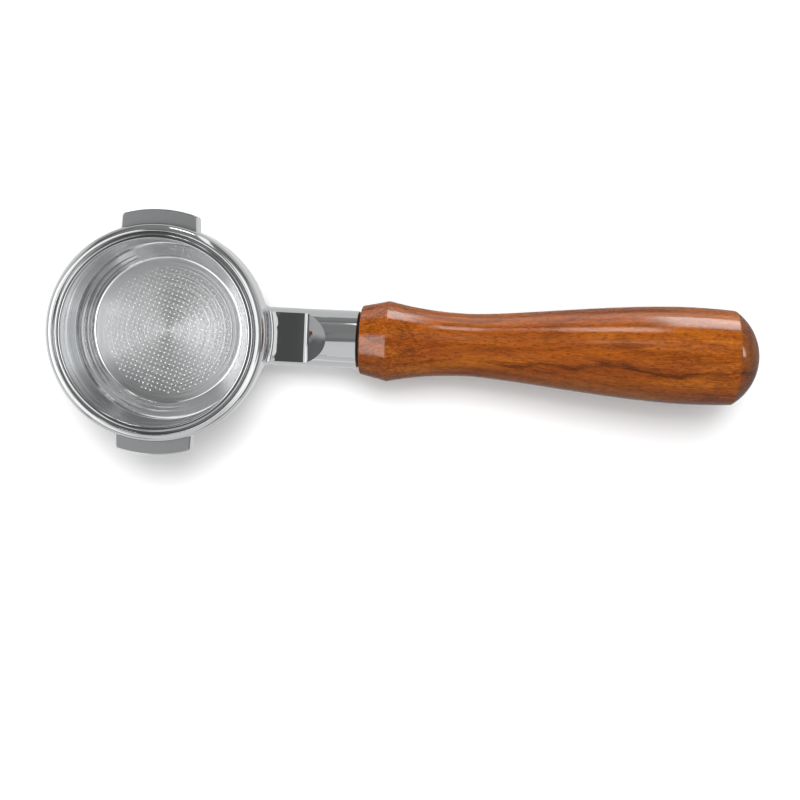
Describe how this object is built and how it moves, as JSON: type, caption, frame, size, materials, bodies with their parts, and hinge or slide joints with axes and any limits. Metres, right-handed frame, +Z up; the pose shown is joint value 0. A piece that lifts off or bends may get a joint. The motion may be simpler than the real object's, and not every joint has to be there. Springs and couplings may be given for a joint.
{
  "type": "espresso portafilter",
  "caption": "Bottomless espresso portafilter: plated ring with bayonet lugs and notched neck, lift-out perforated filter basket and turned lacquered wooden handle.",
  "frame": {"origin": "on the basket's axis, in the plane of the basket rim's top land, which meets the group's gasket", "axes": "+Z up out of the basket's mouth, +X out along the handle, bayonet lugs on +Y and -Y"},
  "size_m": [0.2259, 0.0778, 0.0369],
  "materials": {
    "plated_brass": "polished",
    "stainless_steel": "satin",
    "spring_steel": "drawn wire",
    "stud_steel": "zinc plated",
    "black_rubber": "matte",
    "brass": "machined",
    "lacquered_wood": "gloss lacquer"
  },
  "bodies": {
    "portafilter": {"portafilter_body": "plated_brass", "basket_spring": "spring_steel", "handle_stud": "stud_steel", "handle_washer": "black_rubber", "threaded_insert": "brass", "wood_handle": "lacquered_wood"},
    "basket": {"filter_basket": "stainless_steel"}
  },
  "joints": [
    {"name": "basket_lift", "type": "slide", "parent": "portafilter", "child": "basket", "axis": [0, 0, 1], "range_m": [0, 0.035]}
  ]
}
